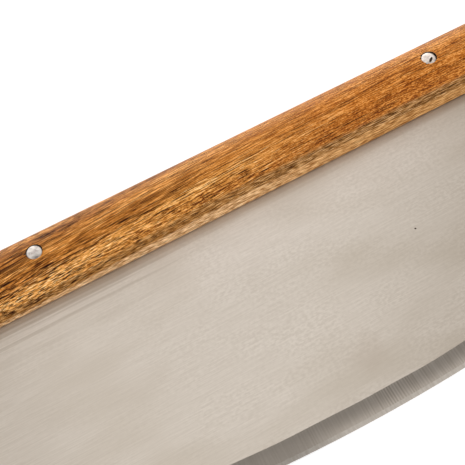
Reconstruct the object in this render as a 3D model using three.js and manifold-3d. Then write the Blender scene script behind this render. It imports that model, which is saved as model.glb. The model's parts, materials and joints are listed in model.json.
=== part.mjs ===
// A rocker pizza cutter: a long curved steel blade, slotted into a round wooden bar and held by two rivets.
// Millimetres, +Z up. The cutter lies as it does on a worktop, on its handle and on the middle of its edge.
import * as THREE from "three";
import { mergeVertices } from "three/addons/utils/BufferGeometryUtils.js";
import Module from "manifold-3d";

const wasm = await Module();
wasm.setup();

// Handle: a round bar
const HANDLE_DIAMETER = 25;
const HANDLE_END_ROUND = 4; // rounding of the rim at each end
const HANDLE_OVERHANG = 5; // how far the bar runs past the blade at each end
const SLOT_ROOF = 6; // wood left above the slot, at the top of the bar

// Blade: a flat sheet with a rocker edge, straight ends and rounded corners
const BLADE_LENGTH = 340;
const BLADE_DEPTH = 97.5; // from the bar's axis to the lowest point of the edge
const BLADE_THICKNESS = 2;
const EDGE_RADIUS = 560;
const CORNER_RADIUS = 30;
const TANG_CORNER_RADIUS = 3;
const BEVEL_WIDTH = 6.8; // the ground band on each side of the edge
const HONE_WIDTH = 1.3; // the steeper honed band next to the edge
const HONE_THICKNESS = 0.7; // blade thickness where the ground band meets the honed one
const EDGE_THICKNESS = 0.1;
const DEBURR = 0.2; // the broken corner along the blade's unsharpened edges

// Rivets: a headed pin through bar and blade, with its far end formed into the same head
const RIVET_PITCH = 150;
const RIVET_SHANK_DIAMETER = 3;
const RIVET_HEAD_DIAMETER = 5;
const RIVET_DOME_HEIGHT = 0.45;
const RIVET_RIM_HEIGHT = 1.05;
const RIVET_SINK = 0.05; // how far the top of the dome lies below the bar's surface
const RIVET_SET_BACK = 0.6; // how far the rivets lie behind the bar's axis, away from the edge

// Clearances
const SLOT_CLEARANCE = 0.15; // between blade and slot, on every side
const SHANK_CLEARANCE = 0.15; // between shank and hole, all round
const HEAD_CLEARANCE = 0.3; // between head and recess, all round
const SEAT_CLEARANCE = 0.1; // under each head

// How finely round shapes are divided
const HANDLE_SIDES = 72;
const HANDLE_END_STEPS = 8;
const EDGE_STEPS = 96;
const CORNER_STEPS = 24;
const TANG_CORNER_STEPS = 6;
const RIVET_SIDES = 40;
const DOME_STEPS = 8;
const SAME_POINT = 1e-4; // points nearer than this are one

// What follows from them
const handleRadius = HANDLE_DIAMETER / 2;
const handleLength = BLADE_LENGTH + 2 * HANDLE_OVERHANG;
const slotTop = handleRadius - SLOT_ROOF;
const tangTop = slotTop - SLOT_CLEARANCE;
const bladeEnd = BLADE_LENGTH / 2;
const halfThickness = BLADE_THICKNESS / 2;
const shankHoleRadius = RIVET_SHANK_DIAMETER / 2 + SHANK_CLEARANCE;
const recessRadius = RIVET_HEAD_DIAMETER / 2 + HEAD_CLEARANCE;
const domeTop = handleRadius - RIVET_SINK;
const rimTop = domeTop - RIVET_DOME_HEIGHT;
const headSeat = rimTop - RIVET_RIM_HEIGHT;
const recessFloor = headSeat - SEAT_CLEARANCE;
const rivetPlaces = {
  rivet_left: new THREE.Vector2(-RIVET_PITCH / 2, RIVET_SET_BACK),
  rivet_right: new THREE.Vector2(RIVET_PITCH / 2, RIVET_SET_BACK),
};

// Where the blade's flat faces come out of the wood: the tang lies above this level.
const exitLevel = -Math.sqrt(handleRadius ** 2 - (halfThickness + SLOT_CLEARANCE) ** 2);

// The blade's rim in steps from flat face to outline, each at [inset, height above the middle plane],
// first where the rim is only deburred, then where it is sharpened.
const rimSteps = [
  { blunt: [DEBURR, halfThickness], keen: [BEVEL_WIDTH, halfThickness] },
  { blunt: [DEBURR / 2, halfThickness - DEBURR / 2], keen: [HONE_WIDTH, HONE_THICKNESS / 2] },
  { blunt: [0, halfThickness - DEBURR], keen: [0, EDGE_THICKNESS / 2] },
];

const mix = (from, to, share) => from + (to - from) * share;

// Materials, with colours as they look in daylight
const acacia = new THREE.MeshStandardMaterial({ color: 0xb4763a, roughness: 0.55, metalness: 0 });
const brushedSteel = new THREE.MeshStandardMaterial({ color: 0xc8bcaf, roughness: 0.35, metalness: 1 });
const paleMetal = new THREE.MeshStandardMaterial({ color: 0xdcdcde, roughness: 0.3, metalness: 1 });

// Turns a closed geometry into a solid that can be cut.
function solidOf(geometry) {
  const bare = geometry.clone();
  bare.deleteAttribute("normal");
  bare.deleteAttribute("uv");
  const merged = mergeVertices(bare, SAME_POINT);
  const vertProperties = merged.attributes.position.array;
  const triVerts = new Uint32Array(merged.index.array);
  return new wasm.Manifold(new wasm.Mesh({ numProp: 3, vertProperties, triVerts }));
}

// Turns a solid back into a geometry.
function geometryOf(solid) {
  const mesh = solid.getMesh();
  const geometry = new THREE.BufferGeometry();
  geometry.setAttribute("position", new THREE.BufferAttribute(mesh.vertProperties, 3));
  geometry.setIndex(new THREE.BufferAttribute(mesh.triVerts, 1));
  geometry.computeVertexNormals();
  return geometry;
}

// Points of an arc, both ends included, from one angle to another.
function arcPoints(centre, radius, fromAngle, toAngle, steps) {
  const points = [];
  for (let i = 0; i <= steps; i++) {
    const angle = mix(fromAngle, toAngle, i / steps);
    const out = new THREE.Vector2(Math.cos(angle), Math.sin(angle));
    points.push(out.multiplyScalar(radius).add(centre));
  }
  return points;
}

// The bar as a lathe turns it: flat ends with rounded rims, lying along X.
function turnedBar() {
  const rim = handleRadius - HANDLE_END_ROUND;
  const shoulder = handleLength / 2 - HANDLE_END_ROUND;
  const lowRim = new THREE.Vector2(rim, -shoulder);
  const highRim = new THREE.Vector2(rim, shoulder);
  const profile = [
    new THREE.Vector2(0, -handleLength / 2),
    ...arcPoints(lowRim, HANDLE_END_ROUND, -Math.PI / 2, 0, HANDLE_END_STEPS),
    ...arcPoints(highRim, HANDLE_END_ROUND, 0, Math.PI / 2, HANDLE_END_STEPS),
    new THREE.Vector2(0, handleLength / 2),
  ];
  return new THREE.LatheGeometry(profile, HANDLE_SIDES).rotateZ(-Math.PI / 2);
}

// The slot for the blade, open at the bottom of the bar.
function slotCutter() {
  const length = BLADE_LENGTH + 2 * SLOT_CLEARANCE;
  const width = BLADE_THICKNESS + 2 * SLOT_CLEARANCE;
  const height = slotTop + HANDLE_DIAMETER;
  const cutter = new THREE.BoxGeometry(length, height, width);
  return cutter.translate(0, slotTop - height / 2, 0);
}

// The rivet's hole through the bar, with a round recess for the head on each side.
function rivetHoleCutter() {
  const reach = HANDLE_DIAMETER;
  const profile = [
    new THREE.Vector2(0, -reach),
    new THREE.Vector2(recessRadius, -reach),
    new THREE.Vector2(recessRadius, -recessFloor),
    new THREE.Vector2(shankHoleRadius, -recessFloor),
    new THREE.Vector2(shankHoleRadius, recessFloor),
    new THREE.Vector2(recessRadius, recessFloor),
    new THREE.Vector2(recessRadius, reach),
    new THREE.Vector2(0, reach),
  ];
  return new THREE.LatheGeometry(profile, RIVET_SIDES).rotateX(Math.PI / 2);
}

function handleGeometry() {
  let bar = solidOf(turnedBar()).subtract(solidOf(slotCutter()));
  for (const place of Object.values(rivetPlaces)) {
    bar = bar.subtract(solidOf(rivetHoleCutter().translate(place.x, place.y, 0)));
  }
  return geometryOf(bar);
}

// A rivet as set: two low domed heads on one shank, standing along Z.
function rivetGeometry() {
  const headRadius = RIVET_HEAD_DIAMETER / 2;
  const domeRadius = (headRadius ** 2 + RIVET_DOME_HEIGHT ** 2) / (2 * RIVET_DOME_HEIGHT);
  const halfAngle = Math.asin(headRadius / domeRadius);
  const domeArc = (centreHeight, from, to) => {
    const centre = new THREE.Vector2(0, centreHeight);
    return arcPoints(centre, domeRadius, from, to, DOME_STEPS);
  };
  const up = Math.PI / 2;
  const profile = [
    ...domeArc(domeRadius - domeTop, -up, halfAngle - up),
    new THREE.Vector2(headRadius, -headSeat),
    new THREE.Vector2(RIVET_SHANK_DIAMETER / 2, -headSeat),
    new THREE.Vector2(RIVET_SHANK_DIAMETER / 2, headSeat),
    new THREE.Vector2(headRadius, headSeat),
    ...domeArc(domeTop - domeRadius, up - halfAngle, up),
  ];
  profile.at(0).x = 0;
  profile.at(-1).x = 0;
  return new THREE.LatheGeometry(profile, RIVET_SIDES).rotateX(Math.PI / 2);
}

// The blade's outline seen from +Z, anticlockwise from where its left end comes out of the wood.
// Each point holds its place, the direction into the steel, and how far it is sharpened, from 0 to 1.
function bladeOutline() {
  const edgeCentre = new THREE.Vector2(0, EDGE_RADIUS - BLADE_DEPTH);
  const cornerX = bladeEnd - CORNER_RADIUS;
  const cornerDrop = Math.sqrt((EDGE_RADIUS - CORNER_RADIUS) ** 2 - cornerX ** 2);
  const cornerY = edgeCentre.y - cornerDrop;
  const edgeHalfAngle = Math.atan2(cornerX, cornerDrop);
  const down = -Math.PI / 2;
  const outline = [];

  const addArc = (centre, radius, from, to, steps, sharpness) => {
    arcPoints(centre, radius, from, to, steps).forEach((place, i) => {
      if (outline.at(-1)?.place.distanceTo(place) < SAME_POINT) return;
      const inward = centre.clone().sub(place).normalize();
      outline.push({ place, inward, sharp: sharpness(i / steps) });
    });
  };
  const addSidePoint = (x) => {
    const place = new THREE.Vector2(x, exitLevel);
    const inward = new THREE.Vector2(-Math.sign(x), 0);
    outline.push({ place, inward, sharp: 0 });
  };
  const runIn = (share) => THREE.MathUtils.smoothstep(share, 0, 1);
  const corner = (side) => new THREE.Vector2(side * cornerX, cornerY);
  const tangCorner = (side) =>
    new THREE.Vector2(side * (bladeEnd - TANG_CORNER_RADIUS), tangTop - TANG_CORNER_RADIUS);

  addSidePoint(-bladeEnd);
  addArc(corner(-1), CORNER_RADIUS, -Math.PI, down - edgeHalfAngle, CORNER_STEPS, runIn);
  addArc(edgeCentre, EDGE_RADIUS, down - edgeHalfAngle, down + edgeHalfAngle, EDGE_STEPS, () => 1);
  addArc(corner(1), CORNER_RADIUS, down + edgeHalfAngle, 0, CORNER_STEPS, (share) => runIn(1 - share));
  addSidePoint(bladeEnd);
  addArc(tangCorner(1), TANG_CORNER_RADIUS, 0, Math.PI / 2, TANG_CORNER_STEPS, () => 0);
  addArc(tangCorner(-1), TANG_CORNER_RADIUS, Math.PI / 2, Math.PI, TANG_CORNER_STEPS, () => 0);
  return outline;
}

// The blade: rings of points that go round its rim, and two flat faces with rivet holes.
function bladeGeometry() {
  const outline = bladeOutline();
  const count = outline.length;
  const positions = [];
  const triangles = [];

  const addRing = ({ blunt, keen }, side) => {
    for (const { place, inward, sharp } of outline) {
      const inset = mix(blunt[0], keen[0], sharp);
      const height = mix(blunt[1], keen[1], sharp);
      positions.push(place.x + inward.x * inset, place.y + inward.y * inset, side * height);
    }
  };
  const addBand = (start, nextStart, size) => {
    for (let i = 0; i < size; i++) {
      const j = (i + 1) % size;
      triangles.push(start + i, nextStart + i, start + j);
      triangles.push(start + j, nextStart + i, nextStart + j);
    }
  };

  // From the +Z face round the rim to the -Z face.
  rimSteps.forEach((step) => addRing(step, 1));
  [...rimSteps].reverse().forEach((step) => addRing(step, -1));
  const ringCount = 2 * rimSteps.length;
  for (let ring = 0; ring + 1 < ringCount; ring++) {
    addBand(ring * count, (ring + 1) * count, count);
  }

  // Rivet holes, each a ring of points on either face.
  const holes = Object.values(rivetPlaces).map((place) => {
    const ring = arcPoints(place, shankHoleRadius, 0, 2 * Math.PI, RIVET_SIDES).slice(0, -1);
    const starts = [1, -1].map((side) => {
      const start = positions.length / 3;
      ring.forEach((point) => positions.push(point.x, point.y, side * halfThickness));
      return start;
    });
    addBand(starts[1], starts[0], ring.length);
    return starts;
  });

  // Flat faces, each in two areas that meet where the blade comes out of the wood.
  const rightExit = outline.findIndex(({ place }) => place.x > 0 && place.y === exitLevel);
  const faceAreas = [
    { first: 0, last: rightExit, holed: false },
    { first: rightExit, last: count, holed: true },
  ];
  const pointAt = (index) => new THREE.Vector2(positions[3 * index], positions[3 * index + 1]);
  const holeRing = (start) => Array.from({ length: RIVET_SIDES }, (_, i) => start + RIVET_SIDES - 1 - i);
  const addFace = (ringStart, face, flip) => {
    for (const { first, last, holed } of faceAreas) {
      const contour = [];
      for (let i = first; i <= last; i++) contour.push(ringStart + (i % count));
      const rings = holed ? holes.map((starts) => holeRing(starts[face])) : [];
      const used = [...contour, ...rings.flat()];
      const holePoints = rings.map((ring) => ring.map(pointAt));
      for (const [a, b, c] of THREE.ShapeUtils.triangulateShape(contour.map(pointAt), holePoints)) {
        triangles.push(used[a], used[flip ? c : b], used[flip ? b : c]);
      }
    }
  };
  addFace(0, 0, false);
  addFace((ringCount - 1) * count, 1, true);

  const geometry = new THREE.BufferGeometry();
  geometry.setAttribute("position", new THREE.Float32BufferAttribute(positions, 3));
  geometry.setIndex(triangles);
  geometry.computeVertexNormals();
  return geometry;
}

function namedMesh(name, geometry, material) {
  const mesh = new THREE.Mesh(geometry, material);
  mesh.name = name;
  return mesh;
}

// The cutter in its own axes: X along the bar, Y from the edge to the bar, Z out of the blade's face.
const cutter = new THREE.Group();
cutter.add(namedMesh("handle", handleGeometry(), acacia));
cutter.add(namedMesh("blade", bladeGeometry(), brushedSteel));
for (const [name, place] of Object.entries(rivetPlaces)) {
  const rivet = namedMesh(name, rivetGeometry(), paleMetal);
  rivet.position.set(place.x, place.y, 0);
  cutter.add(rivet);
}

// Laid down: the bar and the middle of the edge both touch the worktop, at Z 0.
// The blade tips until the first step of its rim meets the worktop.
const lieAngle = Math.min(
  ...rimSteps.map(({ keen: [inset, height] }) => {
    const depth = BLADE_DEPTH - inset;
    return Math.asin(handleRadius / Math.hypot(depth, height)) - Math.atan2(height, depth);
  }),
);
const reach = BLADE_DEPTH * Math.cos(lieAngle) + (EDGE_THICKNESS / 2) * Math.sin(lieAngle);
cutter.rotation.x = lieAngle;
cutter.position.z = handleRadius;
cutter.position.y = (reach - handleRadius) / 2;

const pizzaCutter = new THREE.Group();
pizzaCutter.add(cutter);

export default pizzaCutter;
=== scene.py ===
# %% [markdown]
# # A rocking pizza cutter
# The real tool is a long sheet of stainless steel with a curved edge. It sits in a slot along a round
# wooden bar, and two rivets hold it there. The solid model already has every piece at its real size, so
# this lesson is about looks: finer meshes over the same sizes, and a finish for each material.
# We begin by loading that solid model. It stays where it is, and every new piece is fitted to it.

# %% Load the solid model
import json
import math

import bmesh
import bpy
from mathutils import Matrix, Vector


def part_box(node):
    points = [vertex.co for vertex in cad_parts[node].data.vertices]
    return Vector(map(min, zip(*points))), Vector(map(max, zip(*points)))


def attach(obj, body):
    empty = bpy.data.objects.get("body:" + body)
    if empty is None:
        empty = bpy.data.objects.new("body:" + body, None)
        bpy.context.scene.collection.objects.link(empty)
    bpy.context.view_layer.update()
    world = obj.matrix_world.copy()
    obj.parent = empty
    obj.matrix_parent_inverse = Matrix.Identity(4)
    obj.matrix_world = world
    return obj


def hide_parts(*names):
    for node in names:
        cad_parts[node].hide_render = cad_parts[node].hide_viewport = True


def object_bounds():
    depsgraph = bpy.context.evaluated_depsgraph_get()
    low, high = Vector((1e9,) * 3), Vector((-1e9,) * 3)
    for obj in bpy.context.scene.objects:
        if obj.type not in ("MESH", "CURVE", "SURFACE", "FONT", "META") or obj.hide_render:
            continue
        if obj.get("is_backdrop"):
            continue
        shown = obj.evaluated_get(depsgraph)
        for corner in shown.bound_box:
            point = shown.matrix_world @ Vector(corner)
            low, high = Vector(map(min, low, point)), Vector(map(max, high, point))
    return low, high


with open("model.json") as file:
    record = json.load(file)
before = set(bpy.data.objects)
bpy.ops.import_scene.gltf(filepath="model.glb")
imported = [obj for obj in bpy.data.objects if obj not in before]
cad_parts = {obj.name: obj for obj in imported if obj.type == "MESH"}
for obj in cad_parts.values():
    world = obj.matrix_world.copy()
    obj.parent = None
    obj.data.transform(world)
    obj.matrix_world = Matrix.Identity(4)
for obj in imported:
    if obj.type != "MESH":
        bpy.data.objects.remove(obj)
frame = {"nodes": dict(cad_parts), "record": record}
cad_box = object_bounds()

MM = 0.001
scene = bpy.context.scene
scene.view_settings.view_transform = "Standard"
print("solid nodes:", sorted(frame["nodes"]))

# %% [markdown]
# ## The cutter's own axes
# The cutter lies on the worktop on its bar and on the middle of its edge, so the blade slopes a little.
# Everything is easier to draw in the cutter's own axes: X along the bar, Y from the edge to the bar,
# and Z out of the blade's face, with zero on the bar's axis. The slope is read from the face's direction
# in the record, and the other places from the solids' boxes, so nothing has to be measured twice.

# %% Read the axes and main sizes from the frame
mounts = {mount["name"]: mount for mount in frame["record"]["mounts"]}
face_normal = Vector(mounts["upper_face"]["axis"])
lie_angle = math.atan2(-face_normal.y, face_normal.z)

bar_low, bar_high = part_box("handle")
bar_radius = (bar_high.z - bar_low.z) / 2
bar_length = bar_high.x - bar_low.x
bar_axis = Vector((0, bar_high.y - bar_radius, bar_high.z - bar_radius))
laid_down = Matrix.Translation(bar_axis) @ Matrix.Rotation(lie_angle, 4, "X")

blade_low, blade_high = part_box("blade")
blade_length = blade_high.x - blade_low.x
rivet_places = {}
for name in ("rivet_left", "rivet_right"):
    low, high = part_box(name)
    rivet_places[name] = laid_down.inverted() @ ((low + high) / 2)
print(f"bar {bar_length / MM:.1f} mm long and {2 * bar_radius / MM:.2f} mm thick")
print(f"the blade slopes {math.degrees(lie_angle):.2f} degrees")
for name, place in rivet_places.items():
    print(f"{name} at x {place.x / MM:.2f} mm, y {place.y / MM:.2f} mm")

# %% [markdown]
# ## Camera
# The picture is a close look at the middle of the cutter, from in front of the edge and from the left,
# about half way up. A longish lens keeps the bar's two outlines nearly parallel, and the camera is rolled
# so that the bar climbs across the picture. Placing it first means that each piece can be judged in the
# frame where it will be seen.

# %% Aim the camera
IMAGE_SIDE = 465
CAMERA_TARGET = Vector((-14.40, 23.20, 10.09)) * MM
CAMERA_AZIMUTH = math.radians(-17.84)
CAMERA_ELEVATION = math.radians(52.25)
CAMERA_ROLL = math.radians(-12.67)
CAMERA_DISTANCE = 338.95 * MM
FOCAL_PIXELS = 1023.4

camera_data = bpy.data.cameras.new("camera")
camera_data.sensor_fit = "HORIZONTAL"
camera_data.lens = FOCAL_PIXELS / IMAGE_SIDE * camera_data.sensor_width
camera_data.clip_start = 10 * MM
camera = bpy.data.objects.new("camera", camera_data)
scene.collection.objects.link(camera)
scene.camera = camera

towards_camera = Vector((
    math.sin(CAMERA_AZIMUTH) * math.cos(CAMERA_ELEVATION),
    -math.cos(CAMERA_AZIMUTH) * math.cos(CAMERA_ELEVATION),
    math.sin(CAMERA_ELEVATION),
))
upright = (-towards_camera).to_track_quat("-Z", "Y").to_matrix().to_4x4()
camera.matrix_world = (
    Matrix.Translation(CAMERA_TARGET + towards_camera * CAMERA_DISTANCE)
    @ upright
    @ Matrix.Rotation(CAMERA_ROLL, 4, "Z")
)
print(f"camera lens {camera_data.lens:.1f} mm")

# %% [markdown]
# ## Turning and cutting
# The bar, the rivets and the tools that bore their holes are all turned shapes: one outline swept round
# an axis. A screw modifier could do it, but a small function that joins rings of points gives clean
# quads and lets the outline be written in real sizes. Holes, the slot and small nicks are then cut out,
# and what is cut can take a finish of its own.

# %% Turn an outline round an axis
TINY = 0.001 * MM


def finished_mesh(builder, name):
    """Makes an object of what was built, with all its faces turned outwards."""
    bmesh.ops.recalc_face_normals(builder, faces=builder.faces)
    mesh = bpy.data.meshes.new(name)
    builder.to_mesh(mesh)
    builder.free()
    piece = bpy.data.objects.new(name, mesh)
    scene.collection.objects.link(piece)
    return piece


def arc(centre_x, centre_y, radius, start, stop, steps):
    """Points of an arc, both ends included, with angles in degrees."""
    turn = math.radians(stop - start) / steps
    angles = [math.radians(start) + i * turn for i in range(steps + 1)]
    return [(centre_x + radius * math.cos(a), centre_y + radius * math.sin(a)) for a in angles]


def turned(name, outline, segments, axis):
    """Sweeps (along, radius) points round X or Z. The first and the last point lie on that axis."""
    builder = bmesh.new()
    rings = []
    for along, radius in outline:
        on_axis = radius < TINY
        ring = []
        for i in range(1 if on_axis else segments):
            angle = 2 * math.pi * i / segments
            across, up = radius * math.cos(angle), radius * math.sin(angle)
            place = (along, across, up) if axis == "X" else (across, up, along)
            ring.append(builder.verts.new(place))
        rings.append(ring)
    for near, far in zip(rings, rings[1:]):
        for i in range(segments):
            j = (i + 1) % segments
            corners = [near[i % len(near)], near[j % len(near)], far[j % len(far)], far[i % len(far)]]
            builder.faces.new(list(dict.fromkeys(corners)))
    return finished_mesh(builder, name)


print("ready to turn shapes")

# %% Cut one shape out of another
def cut(piece, cutter, finish):
    """Takes the cutter's shape out of the piece. The cut faces get the finish with that number."""
    for shape in (piece, cutter):
        while len(shape.data.materials) <= finish:
            shape.data.materials.append(None)
    for face in cutter.data.polygons:
        face.material_index = finish
    boolean = piece.modifiers.new("cut", "BOOLEAN")
    boolean.object = cutter
    boolean.operation = "DIFFERENCE"
    boolean.solver = "EXACT"
    shaped = piece.evaluated_get(bpy.context.evaluated_depsgraph_get())
    piece.data = bpy.data.meshes.new_from_object(shaped)
    piece.modifiers.clear()
    bpy.data.objects.remove(cutter)


NICK_STEPS = 12
NICK_SEGMENTS = 24


def nick(piece, place, size, turn, finish):
    """Chips a small oval hollow out of a piece. Its inside gets the finish with that number."""
    chisel = turned("chisel", arc(0, 0, 1, 180, 0, NICK_STEPS), NICK_SEGMENTS, "X")
    chisel.data.transform(
        Matrix.Translation(place)
        @ Matrix.Rotation(math.radians(turn), 4, "Z")
        @ Matrix.Diagonal((*size, 1))
    )
    cut(piece, chisel, finish)


print("ready to cut shapes")

# %% [markdown]
# ## The handle
# On the real cutter a plain bar is turned, its ends are rounded for the palms, a slot is sawn along the
# underside, and a hole with a round recess is bored for each rivet. We do the same, in the same order.
# The saw's sharp lips are eased by hand with sandpaper. Here the slot's cutting tool is flared at its
# mouth, so one cut leaves the lips already rounded, which is safer than bevelling a cut mesh. The drill
# wanders a little, and the lips of its holes are chipped in a few places.

# %% Turn the bar
END_ROUND = 4 * MM
END_STEPS = 12
BAR_SEGMENTS = 144
BAR_RINGS = 120

half_bar = bar_length / 2
rim = bar_radius - END_ROUND
shoulder = half_bar - END_ROUND
body = [(-shoulder + 2 * shoulder * i / BAR_RINGS, bar_radius) for i in range(1, BAR_RINGS)]
bar_outline = [
    (-half_bar, 0),
    (-half_bar, rim / 2),
    *arc(-shoulder, rim, END_ROUND, 180, 90, END_STEPS),
    *body,
    *arc(shoulder, rim, END_ROUND, 90, 0, END_STEPS),
    (half_bar, rim / 2),
    (half_bar, 0),
]
handle = turned("wooden_handle", bar_outline, BAR_SEGMENTS, "X")
print("bar faces:", len(handle.data.polygons))

# %% Saw the slot, with eased lips
BLADE_THICKNESS = 2 * MM
SLOT_CLEARANCE = 0.15 * MM
SLOT_ROOF = 6 * MM
LIP_ROUND = 0.45 * MM
LIP_STEPS = 6
# The second finish is the dark one: painted shade on the recess walls, dirt in the chips and nicks.
OILED, GRIMY_AND_SHADED = range(2)

slot_half_width = BLADE_THICKNESS / 2 + SLOT_CLEARANCE
slot_half_length = blade_length / 2 + SLOT_CLEARANCE
slot_top = bar_radius - SLOT_ROOF


def slot_section():
    """The slot's outline seen along the bar, as (z, y). Its mouth flares out over the rounded lips."""
    lip_z = slot_half_width + LIP_ROUND
    lip_y = -math.sqrt((bar_radius - LIP_ROUND) ** 2 - lip_z ** 2)
    lip_end = -90 + math.degrees(math.atan2(lip_z, -lip_y))
    lip = arc(lip_z, lip_y, LIP_ROUND, 180, 360 + lip_end, LIP_STEPS)
    below = (lip[-1][0], -2 * bar_radius)
    right_side = [(slot_half_width, slot_top), *lip, below]
    left_side = [(-z, y) for z, y in reversed(right_side)]
    return right_side + left_side


def slot_cutter():
    builder = bmesh.new()
    ends = []
    for x in (-slot_half_length, slot_half_length):
        ends.append([builder.verts.new((x, y, z)) for z, y in slot_section()])
    count = len(ends[0])
    for i in range(count):
        j = (i + 1) % count
        builder.faces.new((ends[0][i], ends[0][j], ends[1][j], ends[1][i]))
    builder.faces.new(ends[0])
    builder.faces.new(ends[1])
    return finished_mesh(builder, "slot_cutter")


cut(handle, slot_cutter(), OILED)
print("bar faces after the slot:", len(handle.data.polygons))

# %% Bore the rivet holes
SHANK_RADIUS = 1.5 * MM
SHANK_CLEARANCE = 0.15 * MM
HEAD_RADIUS = 2.5 * MM
HEAD_CLEARANCE = 0.3 * MM
DOME_HEIGHT = 0.45 * MM
RIM_HEIGHT = 1.05 * MM
RIVET_SINK = 0.05 * MM
SEAT_CLEARANCE = 0.1 * MM
HOLE_SEGMENTS = 64
DRILL_WANDER = Vector((0.1, 0.12, 0)) * MM

dome_top = bar_radius - RIVET_SINK
head_seat = dome_top - DOME_HEIGHT - RIM_HEIGHT
recess_floor = head_seat - SEAT_CLEARANCE
recess_radius = HEAD_RADIUS + HEAD_CLEARANCE
hole_radius = SHANK_RADIUS + SHANK_CLEARANCE
drill_side = [
    (recess_floor, hole_radius),
    (recess_floor, recess_radius),
    (2 * bar_radius, recess_radius),
    (2 * bar_radius, 0),
]
drill_outline = [(-along, radius) for along, radius in reversed(drill_side)] + drill_side
# Each recess wall takes the dark finish, as painted shade in the gap round the rivet head.
for place in rivet_places.values():
    drill = turned("drill", drill_outline, HOLE_SEGMENTS, "Z")
    drill.data.transform(Matrix.Translation(place + DRILL_WANDER))
    cut(handle, drill, GRIMY_AND_SHADED)
print("bar faces after the holes:", len(handle.data.polygons))

# %% Chip the lips of the holes
LIP_CHIPS = (
    ("rivet_left", -2.9 * MM, 0.7 * MM),
    ("rivet_right", -2.65 * MM, 1.1 * MM),
    ("rivet_right", -2.05 * MM, -1.9 * MM),
)
CHIP_SIZE = (0.4 * MM, 0.3 * MM, 0.3 * MM)

for node, x, y in LIP_CHIPS:
    place = rivet_places[node] + Vector((x, y, 0))
    place.z = math.sqrt(bar_radius ** 2 - place.y ** 2)
    nick(handle, place, CHIP_SIZE, 0, GRIMY_AND_SHADED)
print("bar faces after the chips:", len(handle.data.polygons))

# %% [markdown]
# ## Seating a piece
# Each finished piece is laid down with the cutter, shaded smooth with its real corners kept sharp, tied
# to the body that it moves with, and the solid that it stands for is hidden.

# %% A function that seats a piece
SHARP_ANGLE = math.radians(30)


def keep_finishes_apart(mesh):
    """Marks the edges between two finishes as sharp, however flat the step there is."""
    finishes = {}
    for face in mesh.polygons:
        for key in face.edge_keys:
            finishes.setdefault(key, set()).add(face.material_index)
    for edge in mesh.edges:
        if len(finishes[edge.key]) > 1:
            edge.use_edge_sharp = True


def seat(piece, node, materials):
    piece.data.transform(laid_down)
    piece.data.shade_smooth()
    piece.data.set_sharp_from_angle(angle=SHARP_ANGLE)
    keep_finishes_apart(piece.data)
    while len(piece.data.materials) < len(materials):
        piece.data.materials.append(None)
    for i, material in enumerate(materials):
        piece.data.materials[i] = material
    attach(piece, "root")
    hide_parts(node)
    print("seated", piece.name, "with", len(piece.data.polygons), "faces")


print(f"edges sharper than {math.degrees(SHARP_ANGLE):.0f} degrees stay sharp")

# %% [markdown]
# ## Helpers for materials
# Every finish below is made of nodes, with no pictures. The helpers add a node with its settings, and
# give the cutter's own axes as texture coordinates, so that grain and brushing follow the bar and not
# the worktop. Colours are written as they are picked from a screen and turned into the linear values
# that the shader needs.

# %% Add nodes
def linear(red, green, blue):
    """A colour picked on a screen, 0 to 255, as the linear colour that shaders use."""
    shares = [value / 255 for value in (red, green, blue)]
    return [s / 12.92 if s <= 0.04045 else ((s + 0.055) / 1.055) ** 2.4 for s in shares] + [1.0]


def new_material(name):
    material = bpy.data.materials.new(name)
    material.use_nodes = True
    tree = material.node_tree
    return material, tree, tree.nodes["Principled BSDF"]


def fill(node, inputs):
    """Sets a node's inputs, or links them where the value is another node's output."""
    for name, value in inputs.items():
        if isinstance(value, bpy.types.NodeSocket):
            node.id_data.links.new(value, node.inputs[name])
        else:
            node.inputs[name].default_value = value


def add(tree, kind, settings=None, **inputs):
    """Adds a node, sets its properties and fills its inputs. A name like _1 is an input's number."""
    made = tree.nodes.new("ShaderNode" + kind)
    for name, value in (settings or {}).items():
        setattr(made, name, value)
    fill(made, {int(name[1:]) if name[0] == "_" else name: value for name, value in inputs.items()})
    return made.outputs[0]


def maths(tree, operation, first, second=0.0, clamp=False):
    return add(tree, "Math", {"operation": operation, "use_clamp": clamp}, _0=first, _1=second)


def times(tree, first, second):
    return maths(tree, "MULTIPLY", first, second)


def added(tree, first, *others):
    """The sum of several values."""
    for other in others:
        first = maths(tree, "ADD", first, other)
    return first


print("node helpers ready")

# %% Places, noise and masks
def own_axes(tree):
    """The cutter's own axes as a texture coordinate."""
    place = tree.nodes.new("ShaderNodeTexCoord").outputs["Object"]
    mapping = {"vector_type": "TEXTURE"}
    return add(tree, "Mapping", mapping, Vector=place, Location=bar_axis, Rotation=(lie_angle, 0, 0))


def scaled(tree, place, waves):
    return add(tree, "VectorMath", {"operation": "MULTIPLY"}, _0=place, _1=waves)


def noise(tree, place, waves, detail=2.0, roughness=0.5):
    """Noise with its own number of waves per metre along X, Y and Z."""
    place = scaled(tree, place, waves)
    return add(tree, "TexNoise", Vector=place, Scale=1.0, Detail=detail, Roughness=roughness)


def between(tree, value, low, high, to_low=0.0, to_high=1.0):
    """Spreads the part of a value between low and high smoothly over to_low to to_high."""
    limits = {"From Min": low, "From Max": high, "To Min": to_low, "To Max": to_high}
    return add(tree, "MapRange", {"interpolation_type": "SMOOTHSTEP"}, Value=value, **limits)


print("mask helpers ready")

# %% Blend colours and raise bumps
def blend_colours(tree, share, first, second, mode="MIX"):
    kind = {"data_type": "RGBA", "blend_type": mode}
    return add(tree, "Mix", kind, _0=share, _6=first, _7=second).node.outputs[2]


def tinted(tree, share, colour, tint):
    """A colour multiplied by a tint, by a share from 0 to 1."""
    return blend_colours(tree, share, colour, tint, "MULTIPLY")


def raise_bumps(tree, shader, height, depth, strength):
    """Shades the surface as if it rose by up to this depth where the height is 1."""
    bump = add(tree, "Bump", Strength=strength, Distance=depth, Height=height)
    fill(shader, {"Normal": bump})


print("colour and bump helpers ready")
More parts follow.
